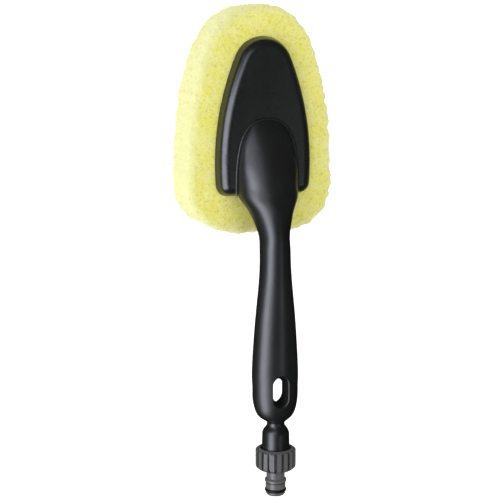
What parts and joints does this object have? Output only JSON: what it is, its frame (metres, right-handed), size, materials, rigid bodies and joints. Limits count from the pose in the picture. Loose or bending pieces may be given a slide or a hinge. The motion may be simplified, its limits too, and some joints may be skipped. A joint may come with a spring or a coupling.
{
  "type": "water-fed sponge brush",
  "caption": "Long-handled foam sponge brush fed with water through its hollow handle, with a screw-on ribbed hose connector and a hang slot.",
  "frame": {"origin": "centre of the bounding box at the sponge's working face, which the brush lies on", "axes": "+Y along the handle towards the head, +Z from the sponge's working face up through the cover, +X across the handle"},
  "size_m": [0.121, 0.396, 0.0996],
  "materials": {
    "foam": "open-cell yellow polyurethane foam, cut surfaces",
    "handle_plastic": "satin black polypropylene, fine moulded texture",
    "cover_plastic": "satin black polypropylene, smooth moulded face",
    "plate_plastic": "matt black polypropylene",
    "insert_plastic": "matt black acetal",
    "connector_plastic": "mid grey moulded plastic with a satin sheen",
    "seal_rubber": "black sealing rubber",
    "screw_steel": "stainless steel"
  },
  "bodies": {
    "brush": {"sponge_block": "foam", "head_cover": "cover_plastic", "spray_plate": "plate_plastic", "spray_plate_gasket": "seal_rubber", "spray_plate_screws": "screw_steel", "handle": "handle_plastic", "foot_screws": "screw_steel", "foot_port_seal": "seal_rubber"},
    "tail_seal": {"tail_washer": "seal_rubber"},
    "hose_connector": {"tap_connector": "connector_plastic", "thread_reducer": "insert_plastic", "connector_washer": "seal_rubber", "nipple_o_ring": "seal_rubber"}
  },
  "joints": [
    {"name": "connector_travel", "type": "slide", "parent": "brush", "child": "tail_seal", "axis": [0, -1, 0], "range_m": [0, 0.0073]},
    {"name": "connector_turn", "type": "hinge", "parent": "tail_seal", "child": "hose_connector", "pos_m": [0, -0.165, 0.083], "axis": [0, -1, 0], "range_deg": [0, 1440]}
  ],
  "couplings": [
    {"joint": "connector_travel", "follows": "connector_turn", "m_per_rad": 0.00028871}
  ]
}
